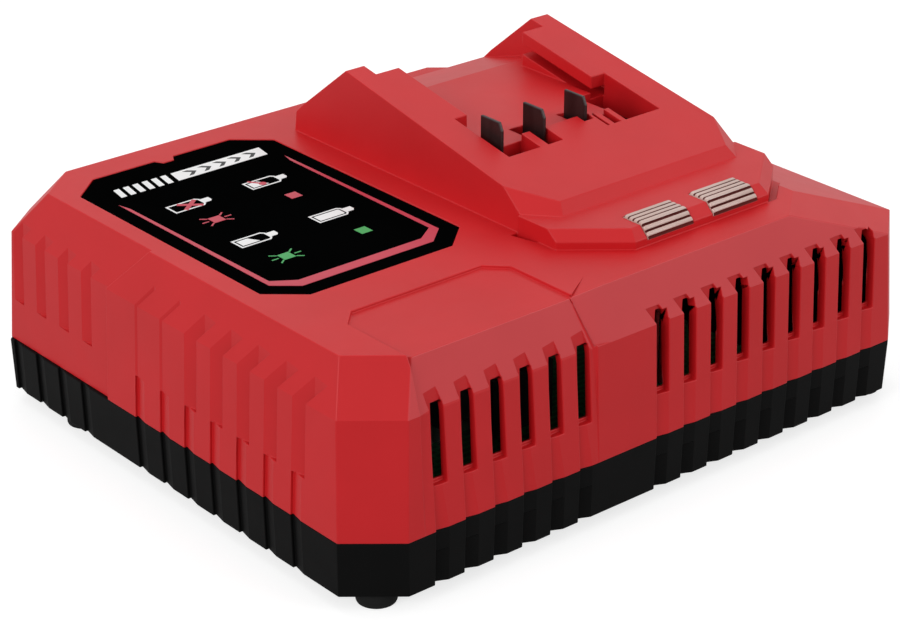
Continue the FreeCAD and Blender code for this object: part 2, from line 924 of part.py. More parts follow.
def lower_housing():
    outer = layered_solid([
        section(base_draft, body_width - base_draft, base_draft, body_depth - base_draft, 0.0),
        section(0.0, body_width, 0.0, body_depth, base_height),
    ])
    inner = plan_prism(cut_corners(wall, body_width - wall, wall, body_depth - wall,
                                   corner_cut_x, corner_cut_y), floor_thickness, base_height + 1.0)
    tray = outer.cut(inner)
    edge = wall + crease_depth + seat_clearance
    lip_outer = cut_corners(edge, body_width - edge, edge, body_depth - edge, corner_cut_x, corner_cut_y)
    edge += lip_thickness
    lip_inner = cut_corners(edge, body_width - edge, edge, body_depth - edge, corner_cut_x, corner_cut_y)
    lip = plan_prism(lip_outer, floor_thickness, base_height + lip_height)
    lip = lip.cut(plan_prism(lip_inner, floor_thickness - 1.0, base_height + lip_height + 1.0))
    tray = tray.fuse(lip)
    notches = []
    rows = ((front_left_vents, front_left_first, front_left_pitch),
            (front_right_vents, front_right_first, front_right_pitch))
    for count, first, pitch in rows:
        for number in range(count):
            place = on_front(first + number * pitch)
            notches.append(louvre(-0.5, base_notch_top, (louvre_depth, louvre_depth), 0.0, louvre_width,
                                  deck_inset_front, place))
    tray = tray.cut(all_vents() + notches)
    solids = []
    holes = []
    for x, y in boss_places():
        solids.append(post(x, y, floor_thickness / 2, base_height, boss_radius))
        holes.append(post(x, y, -1.0, base_height + 1.0, screw_radius + screw_clearance))
        holes.append(post(x, y, -1.0, screw_head_seat, screw_head_radius + screw_clearance))
    for x, y in board_post_places():
        solids.append(post(x, y, floor_thickness / 2, board_bottom(), board_post_radius))
        pilot_bottom = board_bottom() - board_screw_depth
        holes.append(post(x, y, pilot_bottom, board_bottom() + 1.0, board_screw_radius + thread_clearance))
    solids.append(cord_saddle())
    solids += fan_cradle()
    for x, y in clamp_screw_places():
        pilot_bottom = saddle_top() - board_screw_depth
        holes.append(post(x, y, pilot_bottom, saddle_top() + 1.0, board_screw_radius + thread_clearance))
    for x, y in foot_places():
        holes.append(post(x, y, -1.0, foot_recess, foot_radius + seat_clearance))
    tray = tray.multiFuse(solids).cut(holes)
    return tray.removeSplitter()


def foot_places():
    return [
        (front_foot_x, front_foot_y),
        (body_width - front_foot_x, front_foot_y),
        (rear_foot_x, rear_foot_y),
        (body_width - rear_foot_x, rear_foot_y),
    ]


def rubber_feet():
    return [post(x, y, -foot_height, foot_recess, foot_radius) for x, y in foot_places()]


def housing_screws():
    screws = []
    tip = base_height + screw_engagement - 1.0
    for x, y in boss_places():
        head = post(x, y, screw_head_seat - screw_head_height, screw_head_seat, screw_head_radius)
        shank = post(x, y, screw_head_seat, tip, screw_radius)
        socket = post(x, y, screw_head_seat - screw_head_height - 0.01,
                      screw_head_seat - screw_head_height / 2, screw_radius * 0.7)
        screws.append(head.fuse(shank).cut(socket))
    return screws


def status_label():
    bottom = deck_height - label_recess
    return plan_prism(label_plan(seat_clearance), bottom, bottom + label_thickness)


# Contacts
def contact_block():
    x0 = blade_x(0) - block_margin
    x1 = blade_x(blade_count) + block_margin / 2
    middle = (blade_front + blade_rear) / 2
    body = block(x0, x1, middle - block_depth / 2, middle + block_depth / 2,
                 dock_cavity_top - block_height, dock_cavity_top)
    room = blade_thickness / 2 + thread_clearance
    for number in range(blade_count):
        x = blade_x(number)
        slot_floor = dock_cavity_top - block_height - 1.0
        body = body.cut(block(x - room, x + room, blade_front - thread_clearance,
                              blade_rear + thread_clearance, slot_floor, dock_cavity_top + 1.0))
    return body


def blade_bottom():
    return dock_cavity_top - block_height - blade_tail


def contact_blade(number):
    x = blade_x(number)
    outline = [
        (blade_front, blade_bottom()),
        (blade_rear, blade_bottom()),
        (blade_rear, blade_top),
        (blade_front + blade_chamfer / 2, blade_top),
        (blade_front, blade_top - blade_chamfer),
    ]
    return side_profile(x - blade_thickness / 2, x + blade_thickness / 2, outline)


def lead_y():
    return (blade_front + blade_rear) / 2


def board_bottom():
    return floor_thickness + board_post_height


def board_top():
    return board_bottom() + board_thickness


def contact_leads():
    leads = []
    for number in range(blade_count):
        x = blade_x(number)
        leads.append(post(x, lead_y(), board_top() + connector_height, blade_bottom(), lead_radius))
    return leads


def board_connector():
    x0 = blade_x(0) - connector_end
    x1 = blade_x(blade_count - 1) + connector_end
    return block(x0, x1, lead_y() - connector_depth / 2, lead_y() + connector_depth / 2,
                 board_top(), board_top() + connector_height)


# Board and what stands on it
def board_post_places():
    inset = board_post_inset
    return [(x, y) for x in (board_left + inset, board_right - inset)
            for y in (board_front + inset, board_rear - inset)]


def main_circuit_board():
    board = block(board_left, board_right, board_front, board_rear, board_bottom(), board_top())
    for x, y in board_post_places():
        board = board.cut(post(x, y, board_bottom() - 1.0, board_top() + 1.0,
                               board_screw_radius + screw_clearance))
    return board


def board_screws():
    screws = []
    for x, y in board_post_places():
        head = post(x, y, board_top(), board_top() + board_screw_head_height, board_screw_head_radius)
        shank = post(x, y, board_top() - board_thickness - board_screw_depth + 0.5, board_top(),
                     board_screw_radius)
        screws.append(head.fuse(shank))
    return screws


def transformer_bounds():
    return (transformer_x - core_length / 2, transformer_x + core_length / 2,
            transformer_y - core_width / 2, transformer_y + core_width / 2)


def core_bottom():
    return board_top() + bobbin_wall


def transformer_core():
    x0, x1, y0, y1 = transformer_bounds()
    z0 = core_bottom()
    z1 = z0 + core_height
    core = block(x0, x1, y0, y1, z0, z1)
    half = core_centre_leg / 2
    for left, right in ((x0 + core_leg, transformer_x - half), (transformer_x + half, x1 - core_leg)):
        core = core.cut(block(left, right, y0 - 1.0, y1 + 1.0, z0 + core_yoke, z1 - core_yoke))
    return core


def bobbin_extent(margin):
    half_x = core_centre_leg / 2 + margin
    half_y = core_width / 2 + margin
    return (transformer_x - half_x, transformer_x + half_x, transformer_y - half_y, transformer_y + half_y)


def window_half():
    return core_length / 2 - core_leg - winding_clearance


def transformer_bobbin():
    z0 = core_bottom() + core_yoke + winding_clearance
    z1 = core_bottom() + core_height - core_yoke - winding_clearance
    hole = block(*bobbin_extent(winding_clearance / 2), z0 - 1.0, z1 + 1.0)
    tube = block(*bobbin_extent(bobbin_wall), z0, z1)
    reach_y = core_width / 2 + window_half() - core_centre_leg / 2
    flanges = []
    for bottom in (z0, z1 - bobbin_wall):
        flanges.append(block(transformer_x - window_half(), transformer_x + window_half(),
                             transformer_y - reach_y, transformer_y + reach_y, bottom, bottom + bobbin_wall))
    legs = []
    y_in = core_width / 2 + winding_clearance
    for sign in (-1, 1):
        y0 = transformer_y + min(sign * y_in, sign * reach_y)
        y1 = transformer_y + max(sign * y_in, sign * reach_y)
        legs.append(block(transformer_x - window_half(), transformer_x + window_half(), y0, y1,
                          board_top(), z0 + bobbin_wall))
    return fuse_all([tube] + flanges + legs).cut(hole)


def transformer_winding():
    z0 = core_bottom() + core_yoke + 2 * winding_clearance + bobbin_wall
    z1 = core_bottom() + core_height - core_yoke - 2 * winding_clearance - bobbin_wall
    gap = bobbin_wall + winding_clearance / 2
    reach_y = core_width / 2 + window_half() - core_centre_leg / 2
    reach_x = window_half() - winding_room
    reach_y -= winding_room
    outer = block(transformer_x - reach_x, transformer_x + reach_x,
                  transformer_y - reach_y, transformer_y + reach_y, z0, z1)
    outer = outer.makeFillet(winding_round, upright_edges(outer))
    return outer.cut(block(*bobbin_extent(gap), z0 - 1.0, z1 + 1.0))


def mains_capacitor():
    can = post(capacitor_x, capacitor_y, board_top(), board_top() + capacitor_height, capacitor_radius)
    rim = [edge for edge in can.Edges if edge.Closed]
    return can.makeFillet(capacitor_round, rim)


def output_capacitors():
    cans = []
    spacing = 2 * output_capacitor_radius + output_capacitor_gap
    for number in range(output_capacitor_count):
        cans.append(post(output_capacitor_x, output_capacitor_y + number * spacing, board_top(),
                         board_top() + output_capacitor_height, output_capacitor_radius))
    return cans


def choke_coil():
    z = board_top() + toroid_outer
    ring = along_x(toroid_x, toroid_x + toroid_width, toroid_y, z, toroid_outer)
    return ring.cut(along_x(toroid_x - 1.0, toroid_x + toroid_width + 1.0, toroid_y, z, toroid_inner))


def mains_fuse():
    z = board_top() + fuse_radius + fuse_lift
    pieces = [along_x(fuse_x, fuse_x + fuse_length, fuse_y, z, fuse_radius - fuse_cap_step)]
    for x in (fuse_x, fuse_x + fuse_length - fuse_cap_length):
        pieces.append(along_x(x, x + fuse_cap_length, fuse_y, z, fuse_radius))
        pieces.append(block(x + fuse_lift, x + fuse_cap_length - fuse_lift,
                            fuse_y - fuse_radius, fuse_y + fuse_radius, board_top(), z))
    return fuse_all(pieces)


# Heatsink with its plate towards the front and its fins towards the rear
def heatsink(x0, y0):
    top = board_top() + heatsink_height
    pieces = [block(x0, x0 + heatsink_length, y0, y0 + heatsink_plate, board_top(), top)]
    pitch = (heatsink_length - heatsink_fin) / (heatsink_fin_count - 1)
    low = y0 + heatsink_plate
    for number in range(heatsink_fin_count):
        x = x0 + number * pitch
        pieces.append(block(x, x + heatsink_fin, low, low + heatsink_fin_depth, board_top(), top))
    return fuse_all(pieces)


# Power package that stands on its three legs, with its back against a heatsink's plate
def power_package(heatsink_x, heatsink_y):
    x = heatsink_x + heatsink_length / 2
    low = heatsink_y - package_depth
    z0 = board_top() + package_seat
    pieces = [block(x - package_width / 2, x + package_width / 2, low, heatsink_y, z0, z0 + package_height)]
    leg_y = low + (package_depth - package_leg) / 2
    for number in (-1, 0, 1):
        leg_x = x + number * package_leg_pitch - package_leg / 2
        pieces.append(block(leg_x, leg_x + package_leg, leg_y, leg_y + package_leg, board_top(), z0))
    return fuse_all(pieces)


def bridge_rectifier():
    return block(bridge_x, bridge_x + bridge_length, bridge_y, bridge_y + bridge_width,
                 board_top(), board_top() + bridge_height)


def control_chip():
    bottom = board_top() + chip_lift
    pieces = [block(chip_x, chip_x + chip_length, chip_y, chip_y + chip_width, bottom, bottom + chip_height)]
    pitch = chip_length / chip_pin_count
    for number in range(chip_pin_count):
        x = chip_x + (number + 0.5) * pitch - chip_pin_width / 2
        pieces.append(block(x, x + chip_pin_width, chip_y - chip_pin_reach,
                            chip_y + chip_width + chip_pin_reach, board_top(), board_top() + 2 * chip_lift))
    return fuse_all(pieces)


def mains_connector():
    half = mains_connector_length / 2
    return block(gland_x - half, gland_x + half, mains_connector_y,
                 mains_connector_y + mains_connector_depth, board_top(), board_top() + mains_connector_height)


# Cord outlet
def gland_outer_y():
    return body_depth - wall_line(gland_z, deck_inset_rear)


def cord_gland():
    rear = gland_outer_y() - wall_lean / 2
    front = rear - gland_length
    inside = body_depth - wall - wall_lean - seat_clearance
    tube = along_y(gland_x, front, rear, gland_z, gland_radius)
    flange = along_y(gland_x, inside - gland_flange, inside, gland_z, gland_flange_radius)
    return tube.fuse(flange).cut(along_y(gland_x, front - 1.0, rear + 1.0, gland_z, gland_bore))


def clamp_y():
    return gland_outer_y() - wall_lean / 2 - gland_length - clamp_gap - clamp_depth


def saddle_top():
    return gland_z - gland_bore


def cord_saddle():
    y0 = clamp_y()
    saddle = block(gland_x - clamp_width / 2, gland_x + clamp_width / 2, y0, y0 + clamp_depth,
                   floor_thickness / 2, saddle_top())
    return saddle


def clamp_screw_places():
    y = clamp_y() + clamp_depth / 2
    return [(gland_x - clamp_screw_offset, y), (gland_x + clamp_screw_offset, y)]


def cord_clamp():
    y0 = clamp_y()
    bar = block(gland_x - clamp_width / 2, gland_x + clamp_width / 2, y0, y0 + clamp_depth,
                saddle_top(), saddle_top() + gland_bore + clamp_height)
    channel = along_y(gland_x, y0 - 1.0, y0 + clamp_depth + 1.0, gland_z, gland_bore)
    opening = block(gland_x - gland_bore, gland_x + gland_bore, y0 - 1.0, y0 + clamp_depth + 1.0,
                    saddle_top() - 1.0, gland_z)
    bar = bar.cut(channel).cut(opening)
    for x, y in clamp_screw_places():
        bar = bar.cut(post(x, y, saddle_top() - 1.0, gland_z + clamp_height + 1.0,
                           board_screw_radius + screw_clearance))
    return bar


def cord_clamp_screws():
    top = saddle_top() + gland_bore + clamp_height
    screws = []
    for x, y in clamp_screw_places():
        head = post(x, y, top, top + board_screw_head_height, board_screw_head_radius)
        shank = post(x, y, saddle_top() - board_screw_depth + 0.5, top, board_screw_radius)
        screws.append(head.fuse(shank))
    return screws


# Fan
def fan_x1():
    return body_width - wall - wall_lean - fan_wall_gap


def fan_x0():
    return fan_x1() - fan_thickness


def fan_z():
    return floor_thickness + fan_size / 2


def fan_frame():
    half = fan_size / 2
    frame = block(fan_x0(), fan_x1(), fan_y - half, fan_y + half, floor_thickness, floor_thickness + fan_size)
    frame = frame.cut(along_x(fan_x0() - 1.0, fan_x1() + 1.0, fan_y, fan_z(), fan_opening))
    x0 = fan_x1() - fan_spoke
    for angle in (45, 135):
        spoke = Part.makeBox(fan_spoke, 2 * fan_opening + 1.0, fan_spoke_width,
                             Vector(from_left(x0), -fan_opening - 0.5, -fan_spoke_width / 2))
        spoke.rotate(Vector(0, 0, 0), Vector(1, 0, 0), angle)
        spoke.translate(Vector(0, from_front(fan_y), above_base(fan_z())))
        frame = frame.fuse(spoke)
    hub = along_x(x0, fan_x1(), fan_y, fan_z(), fan_hub_radius)
    bearing = along_x(fan_x0() + fan_bearing_start, x0, fan_y, fan_z(), fan_bearing_radius)
    frame = frame.fuse(hub).fuse(bearing)
    bore = along_x(fan_x0(), fan_x1() - fan_shaft_seat, fan_y, fan_z(), fan_shaft_radius + fan_shaft_clearance)
    reach = half - fan_hole_inset
    for sign_y in (-1, 1):
        for sign_z in (-1, 1):
            frame = frame.cut(along_x(fan_x0() - 1.0, fan_x1() + 1.0, fan_y + sign_y * reach,
                                      fan_z() + sign_z * reach, fan_hole_radius))
    return frame.cut(bore)


def fan_rotor():
    start = fan_x0() + fan_axial_clearance
    stop = fan_x1() - fan_spoke - fan_axial_clearance
    cup = along_x(start, stop, fan_y, fan_z(), fan_hub_radius)
    hollow = along_x(fan_x0() + fan_bearing_start - fan_axial_clearance, stop + 1.0, fan_y, fan_z(),
                     fan_hub_radius - fan_cup_wall)
    cup = cup.cut(hollow)
    shaft = along_x(start, fan_x1() - fan_shaft_end, fan_y, fan_z(), fan_shaft_radius)
    rotor = cup.fuse(shaft)
    tip = fan_opening - fan_tip_clearance
    chord = (stop - start) / math.cos(math.radians(fan_blade_pitch)) - fan_cup_wall
    root = fan_hub_radius - fan_cup_wall / 2
    middle = (start + stop) / 2
    for number in range(fan_blades):
        blade = Part.makeBox(chord, fan_blade_thickness, tip + cutter_margin - root,
                             Vector(-chord / 2, -fan_blade_thickness / 2, root))
        blade.rotate(Vector(0, 0, 0), Vector(0, 0, 1), fan_blade_pitch)
        blade.rotate(Vector(0, 0, 0), Vector(1, 0, 0), number * 360.0 / fan_blades)
        blade.translate(Vector(from_left(middle), from_front(fan_y), above_base(fan_z())))
        rotor = rotor.fuse(blade)
    envelope = along_x(start, stop, fan_y, fan_z(), tip)
    envelope = envelope.fuse(shaft)
    return rotor.common(envelope)


def fan_cradle():
    half = fan_size / 2 + seat_clearance
    walls = []
    x0 = fan_x0() - seat_clearance
    x1 = fan_x1() + seat_clearance
    for sign in (-1, 1):
        inner = fan_y + sign * half
        outer = fan_y + sign * (half + cradle_thickness)
        grip = fan_y + sign * (half - cradle_depth)
        low, high = min(inner, outer), max(inner, outer)
        top = floor_thickness + cradle_height
        walls.append(block(x0 - cradle_thickness, x1 + cradle_thickness, low, high, floor_thickness / 2, top))
        low, high = min(grip, outer), max(grip, outer)
        walls.append(block(x0 - cradle_thickness, x0, low, high, floor_thickness / 2, top))
        walls.append(block(x1, x1 + cradle_thickness, low, high, floor_thickness / 2, top))
    return walls


# Indicator board
def led_board():
    first, last = led_board_posts()
    y = led_board_y()
    half = board_post_radius + 1.0
    return block(first - half, last + half, y - half, y + led_lead_setback + led_board_edge,
                 led_board_height, led_board_height + led_board_thickness)


def status_led(number):
    x = lens_left_edge(number) + lens_width / 2
    y = led_board_y()
    z = led_board_height + led_board_thickness
    half = led_size / 2
    body = block(x - half, x + half, y - half, y + half, z, z + led_height)
    return body.makeFillet(led_round, upright_edges(body))


def led_leads():
    y = led_board_y() + led_lead_setback
    middle = (lens_left_edge(0) + lens_left_edge(1) + lens_width) / 2
    first = middle - led_lead_pitch * (led_lead_count - 1) / 2
    return [post(first + n * led_lead_pitch, y, board_top(), led_board_height, led_lead_radius)
            for n in range(led_lead_count)]


save("upper_housing", upper_housing())
save("lower_housing", lower_housing())
save_group("rubber_feet", rubber_feet())
save_group("housing_screws", housing_screws())
save("status_label", status_label())
save("led_lens_left", led_lens(0))
save("led_lens_right", led_lens(1))
save("led_board", led_board())
save_group("led_leads", led_leads())
save("led_red", status_led(0))
save("led_green", status_led(1))
save("contact_block", contact_block())
save("contact_blade_negative", contact_blade(0))
save("contact_blade_data", contact_blade(1))
save("contact_blade_positive", contact_blade(2))
save_group("contact_leads", contact_leads())
save("board_connector", board_connector())
save("main_circuit_board", main_circuit_board())
save_group("board_screws", board_screws())
save("transformer_core", transformer_core())
save("transformer_bobbin", transformer_bobbin())
save("transformer_winding", transformer_winding())
save("mains_capacitor", mains_capacitor())
save_group("output_capacitors", output_capacitors())
save("choke_coil", choke_coil())
save("mains_fuse", mains_fuse())
save("switch_heatsink", heatsink(switch_heatsink_x, switch_heatsink_y))
save("power_transistor", power_package(switch_heatsink_x, switch_heatsink_y))
save("rectifier_heatsink", heatsink(rectifier_heatsink_x, rectifier_heatsink_y))
save("output_diode", power_package(rectifier_heatsink_x, rectifier_heatsink_y))
save("bridge_rectifier", bridge_rectifier())
save("control_chip", control_chip())
save("mains_connector", mains_connector())
save("cord_gland", cord_gland())
save("cord_clamp", cord_clamp())
save_group("cord_clamp_screws", cord_clamp_screws())
save("fan_frame", fan_frame())
save("fan_rotor", fan_rotor())
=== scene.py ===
import math

import bmesh
import bpy
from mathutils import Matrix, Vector


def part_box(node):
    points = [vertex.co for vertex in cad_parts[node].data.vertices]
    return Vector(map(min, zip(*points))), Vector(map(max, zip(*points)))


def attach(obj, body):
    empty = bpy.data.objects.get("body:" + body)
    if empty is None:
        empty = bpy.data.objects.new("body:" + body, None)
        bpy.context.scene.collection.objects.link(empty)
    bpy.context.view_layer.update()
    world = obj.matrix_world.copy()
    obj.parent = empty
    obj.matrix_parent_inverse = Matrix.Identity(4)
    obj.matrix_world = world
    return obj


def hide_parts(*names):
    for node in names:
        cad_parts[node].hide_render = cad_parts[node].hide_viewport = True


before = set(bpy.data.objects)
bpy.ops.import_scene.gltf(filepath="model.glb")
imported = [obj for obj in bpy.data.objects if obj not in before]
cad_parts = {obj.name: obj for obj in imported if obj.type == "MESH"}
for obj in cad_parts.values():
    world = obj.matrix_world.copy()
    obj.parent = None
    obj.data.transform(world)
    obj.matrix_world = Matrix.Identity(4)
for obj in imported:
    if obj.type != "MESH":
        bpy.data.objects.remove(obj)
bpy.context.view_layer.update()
CHARGER = "charger"

# Distances below are in millimetres from the left wall, the front wall and the underside of the base,
# as in the CAD source, and place() turns them into metres in the part's frame.
BODY_WIDTH = 190.0
BODY_DEPTH = 162.0
FOOT_HEIGHT = 4.0


def place(x, y, z):
    return Vector((x - BODY_WIDTH / 2, y - BODY_DEPTH / 2, z + FOOT_HEIGHT)) / 1000


# Materials

def new_material(name):
    material = bpy.data.materials.new(name)
    material.use_nodes = True
    nodes = material.node_tree.nodes
    nodes.clear()
    output = nodes.new("ShaderNodeOutputMaterial")
    shader = nodes.new("ShaderNodeBsdfPrincipled")
    material.node_tree.links.new(shader.outputs["BSDF"], output.inputs["Surface"])
    return material, nodes, material.node_tree.links, shader


def coordinates(nodes, links, stretch):
    source = nodes.new("ShaderNodeTexCoord")
    mapping = nodes.new("ShaderNodeMapping")
    mapping.inputs["Scale"].default_value = stretch
    links.new(source.outputs["Object"], mapping.inputs["Vector"])
    return mapping.outputs["Vector"]


def noise(nodes, links, vector, scale, detail, roughness=0.5):
    node = nodes.new("ShaderNodeTexNoise")
    node.inputs["Scale"].default_value = scale
    node.inputs["Detail"].default_value = detail
    node.inputs["Roughness"].default_value = roughness
    links.new(vector, node.inputs["Vector"])
    return node.outputs["Fac"]


def ramp(nodes, links, factor, stops):
    node = nodes.new("ShaderNodeValToRGB")
    elements = node.color_ramp.elements
    while len(elements) < len(stops):
        elements.new(0.5)
    for element, (position, colour) in zip(elements, stops):
        element.position = position
        element.color = (*colour, 1.0)
    links.new(factor, node.inputs["Fac"])
    return node.outputs["Color"]


def spread(nodes, links, factor, low, high):
    node = nodes.new("ShaderNodeMapRange")
    node.inputs["To Min"].default_value = low
    node.inputs["To Max"].default_value = high
    links.new(factor, node.inputs["Value"])
    return node.outputs["Result"]


def raised(nodes, links, factor, shader, strength, distance):
    node = nodes.new("ShaderNodeBump")
    node.inputs["Strength"].default_value = strength
    node.inputs["Distance"].default_value = distance
    links.new(factor, node.inputs["Height"])
    links.new(node.outputs["Normal"], shader.inputs["Normal"])


def set_sockets(shader, sockets):
    for socket, value in sockets.items():
        shader.inputs[socket.replace("_", " ")].default_value = value


# Moulded, printed or cast surface: soft colour drift, uneven gloss and a fine grain
def grained(name, dark, light, rough, grain, depth, stretch=(1, 1, 1), **sockets):
    material, nodes, links, shader = new_material(name)
    vector = coordinates(nodes, links, stretch)
    drift = noise(nodes, links, vector, 38.0, 3.0)
    links.new(ramp(nodes, links, drift, [(0.3, dark), (0.7, light)]), shader.inputs["Base Color"])
    patches = noise(nodes, links, vector, 140.0, 4.0, 0.6)
    links.new(spread(nodes, links, patches, *rough), shader.inputs["Roughness"])
    raised(nodes, links, noise(nodes, links, vector, grain, 2.0), shader, 0.35, depth)
    set_sockets(shader, sockets)
    return material


# Stripes per unit of length that the wave pattern has at a scale of 1
WAVE_STRIPES = 3.2


# Surface with stripes across one direction: wound wire, tape or a printed sleeve
def striped(name, dark, light, rough, pitch, direction, depth, **sockets):
    material, nodes, links, shader = new_material(name)
    vector = coordinates(nodes, links, (1, 1, 1))
    wave = nodes.new("ShaderNodeTexWave")
    wave.bands_direction = direction
    wave.inputs["Scale"].default_value = 1000.0 / pitch / WAVE_STRIPES
    wave.inputs["Distortion"].default_value = 0.4
    links.new(vector, wave.inputs["Vector"])
    links.new(ramp(nodes, links, wave.outputs["Fac"], [(0.25, dark), (0.75, light)]),
              shader.inputs["Base Color"])
    patches = noise(nodes, links, vector, 200.0, 3.0)
    links.new(spread(nodes, links, patches, *rough), shader.inputs["Roughness"])
    raised(nodes, links, wave.outputs["Fac"], shader, 0.5, depth)
    set_sockets(shader, sockets)
    return material


# Circuit board: lacquer over copper tracks
def board_lacquer(name):
    material, nodes, links, shader = new_material(name)
    vector = coordinates(nodes, links, (1, 1, 1))
    tracks = nodes.new("ShaderNodeTexBrick")
    tracks.inputs["Scale"].default_value = 120.0
    tracks.inputs["Mortar Size"].default_value = 0.05
    tracks.inputs["Color1"].default_value = (0.006, 0.075, 0.022, 1)
    tracks.inputs["Color2"].default_value = (0.008, 0.10, 0.03, 1)
    tracks.inputs["Mortar"].default_value = (0.02, 0.17, 0.05, 1)
    links.new(vector, tracks.inputs["Vector"])
    links.new(tracks.outputs["Color"], shader.inputs["Base Color"])
    patches = noise(nodes, links, vector, 160.0, 3.0)
    links.new(spread(nodes, links, patches, 0.25, 0.4), shader.inputs["Roughness"])
    raised(nodes, links, tracks.outputs["Fac"], shader, 0.3, 0.00004)
    return material


# Depth of the grain of a moulding, and of a film, print or clear piece
FINE = 0.00002
FILM = FINE / 4

red = grained("red_shell", (0.530, 0.0070, 0.0100), (0.575, 0.0085, 0.0125), (0.40, 0.48), 2600.0, FINE,
              Specular_IOR_Level=0.34)
# Painted sheen: a lighter, pinker copy of the shell's red for the front bevel, in place of the light that it
# catches
red_bevel_painted_sheen = grained("red_bevel_painted_sheen", (0.560, 0.030, 0.036), (0.600, 0.036, 0.042), (0.36, 0.44), 2600.0, FINE,
                    Specular_IOR_Level=0.42)
# Painted shade: a near-black, matt copy of the shell's red for its inside faces, so the slits and the cavity
# look dark
red_inside_painted_shade = grained("red_inside_painted_shade", (0.0035, 0.0012, 0.0012), (0.0050, 0.0018, 0.0018), (0.85, 0.95), 2600.0,
                     FINE, Specular_IOR_Level=0.05)
black = grained("black_base", (0.0030, 0.0030, 0.0030), (0.0042, 0.0042, 0.0042), (0.46, 0.58), 2200.0,
                FINE, Specular_IOR_Level=0.05)
rubber = grained("rubber_foot", (0.006, 0.006, 0.006), (0.011, 0.011, 0.011), (0.75, 0.9), 1800.0, FINE,
                 Specular_IOR_Level=0.2)
label_film = grained("label_film", (0.0008, 0.0009, 0.0009), (0.0012, 0.0013, 0.0013), (0.46, 0.54), 3000.0,
                     FILM, Specular_IOR_Level=0.0)
white_ink = grained("white_ink", (0.80, 0.80, 0.80), (0.88, 0.88, 0.88), (0.4, 0.5), 3200.0, FILM)
red_ink = grained("red_ink", (0.50, 0.030, 0.060), (0.56, 0.040, 0.072), (0.4, 0.5), 3200.0, FILM)
green_ink = grained("green_ink", (0.025, 0.30, 0.070), (0.035, 0.36, 0.085), (0.4, 0.5), 3200.0, FILM)
black_ink = grained("black_ink", (0.002, 0.002, 0.002), (0.003, 0.003, 0.003), (0.4, 0.5), 3200.0, FILM)
clear = grained("clear_lens", (0.62, 0.42, 0.36), (0.76, 0.58, 0.52), (0.12, 0.20), 1500.0, FILM,
                Transmission_Weight=0.2, IOR=1.49)
# Painted shade: dark brown for the grooves between the clear lens ribs, where shade falls
lens_groove_painted_shade = grained("lens_groove_painted_shade", (0.075, 0.012, 0.010), (0.12, 0.022, 0.018), (0.4, 0.55), 1500.0, FILM,
                      Specular_IOR_Level=0.1)
blade_metal = grained("nickel_blade", (0.030, 0.022, 0.022), (0.060, 0.046, 0.046), (0.34, 0.46), 900.0,
                      FINE / 2, stretch=(1, 6, 1), Metallic=0.8)
# Painted highlight: a light copy of the blades' nickel for their rounded rims, in place of the glint that
# light gives them
blade_rim_painted_highlight = grained("nickel_rim_painted_highlight", (0.62, 0.50, 0.46), (0.76, 0.64, 0.60), (0.30, 0.40), 900.0, FINE / 2,
                    Metallic=0.6)
steel = grained("screw_steel", (0.40, 0.40, 0.41), (0.52, 0.52, 0.53), (0.28, 0.42), 1400.0, FINE,
                Metallic=1.0)
alloy = grained("heatsink_alloy", (0.55, 0.56, 0.57), (0.68, 0.69, 0.70), (0.35, 0.5), 900.0, FINE,
                stretch=(1, 1, 7), Metallic=1.0)
moulding = grained("black_moulding", (0.010, 0.010, 0.011), (0.016, 0.016, 0.017), (0.4, 0.55), 2000.0, FINE)
package = grained("package_black", (0.008, 0.008, 0.008), (0.014, 0.014, 0.014), (0.5, 0.65), 2400.0, FINE)
ferrite = grained("ferrite", (0.025, 0.024, 0.024), (0.045, 0.043, 0.042), (0.5, 0.7), 1500.0, FINE)
nylon = grained("connector_white", (0.70, 0.68, 0.62), (0.78, 0.76, 0.70), (0.4, 0.55), 2000.0, FINE)
led_red = grained("led_red_body", (0.45, 0.02, 0.02), (0.55, 0.03, 0.03), (0.2, 0.3), 2000.0, FILM,
                  Transmission_Weight=0.4)
led_green = grained("led_green_body", (0.03, 0.40, 0.08), (0.04, 0.48, 0.10), (0.2, 0.3), 2000.0, FILM,
                    Transmission_Weight=0.4)
glass_tube = grained("fuse_glass", (0.75, 0.78, 0.78), (0.85, 0.88, 0.88), (0.08, 0.14), 1200.0, FILM,
                     Transmission_Weight=0.6)
gland_rubber = grained("gland_rubber", (0.010, 0.010, 0.010), (0.016, 0.016, 0.016), (0.6, 0.75), 2000.0,
                       FINE)
fan_plastic = grained("fan_plastic", (0.012, 0.012, 0.013), (0.020, 0.020, 0.021), (0.35, 0.5), 2000.0, FINE)
tape = striped("winding_tape", (0.65, 0.50, 0.06), (0.78, 0.62, 0.10), (0.3, 0.4), 2.0, "Z", 0.00005)
copper = striped("copper_wire", (0.50, 0.16, 0.05), (0.85, 0.36, 0.16), (0.25, 0.35), 0.8, "X", 0.0002,
                 Metallic=1.0)
sleeve = striped("capacitor_sleeve", (0.010, 0.012, 0.035), (0.020, 0.024, 0.060), (0.25, 0.35), 9.0, "X",
                 FINE)
wire = striped("wire_sleeve", (0.45, 0.03, 0.03), (0.55, 0.05, 0.05), (0.35, 0.45), 6.0, "Z", FINE)
lacquer = board_lacquer("board_green")

